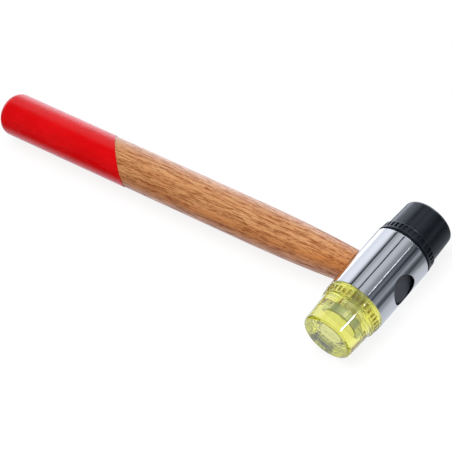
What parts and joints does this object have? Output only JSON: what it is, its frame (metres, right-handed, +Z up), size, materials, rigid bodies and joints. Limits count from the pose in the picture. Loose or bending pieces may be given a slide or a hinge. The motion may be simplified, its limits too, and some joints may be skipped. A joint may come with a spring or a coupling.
{
  "type": "soft face hammer",
  "caption": "Soft face hammer: a plated steel bar on a wooden handle with a red coated grip, and a clear yellow and a black striking face that unscrew.",
  "frame": {"origin": "on the ground plane under the middle of the hammer's box, as it lies on its side", "axes": "+X along the handle towards the head, +Y along the head towards the black face, +Z up"},
  "size_m": [0.2746, 0.0856, 0.032],
  "materials": {
    "lacquered_wood": "clear lacquered open-grained hardwood",
    "red_dip_coat": "glossy red dip coat",
    "chrome_plate": "bright plated steel",
    "plain_steel": "plain cut steel",
    "dark_plug": "dark grey moulded plastic",
    "clear_yellow": "clear lemon-yellow moulded plastic",
    "zinc_steel": "zinc plated steel",
    "spring_steel": "darkened spring steel",
    "black_rubber": "black moulded hard rubber, satin"
  },
  "bodies": {
    "head": {"handle": "lacquered_wood", "grip_coat": "red_dip_coat", "head_bar": "chrome_plate", "handle_wedge": "plain_steel", "eye_plug": "dark_plug"},
    "yellow_washer": {"yellow_washer": "spring_steel"},
    "yellow_face": {"yellow_face": "clear_yellow", "yellow_stud": "zinc_steel"},
    "black_washer": {"black_washer": "spring_steel"},
    "black_face": {"black_face": "black_rubber", "black_stud": "zinc_steel"}
  },
  "joints": [
    {"name": "yellow_face_travel", "type": "slide", "parent": "head", "child": "yellow_washer", "axis": [0, -1, 0], "range_m": [0, 0.00626]},
    {"name": "yellow_face_turn", "type": "hinge", "parent": "yellow_washer", "child": "yellow_face", "pos_m": [0.12125, 0, 0.016], "axis": [0, -1, 0], "range_deg": [0, 1800]},
    {"name": "black_face_travel", "type": "slide", "parent": "head", "child": "black_washer", "axis": [0, 1, 0], "range_m": [0, 0.00626]},
    {"name": "black_face_turn", "type": "hinge", "parent": "black_washer", "child": "black_face", "pos_m": [0.12125, 0, 0.016], "axis": [0, 1, 0], "range_deg": [0, 1800]}
  ],
  "couplings": [
    {"joint": "yellow_face_travel", "follows": "yellow_face_turn", "m_per_rad": 0.00019894},
    {"joint": "black_face_travel", "follows": "black_face_turn", "m_per_rad": 0.00019894}
  ]
}
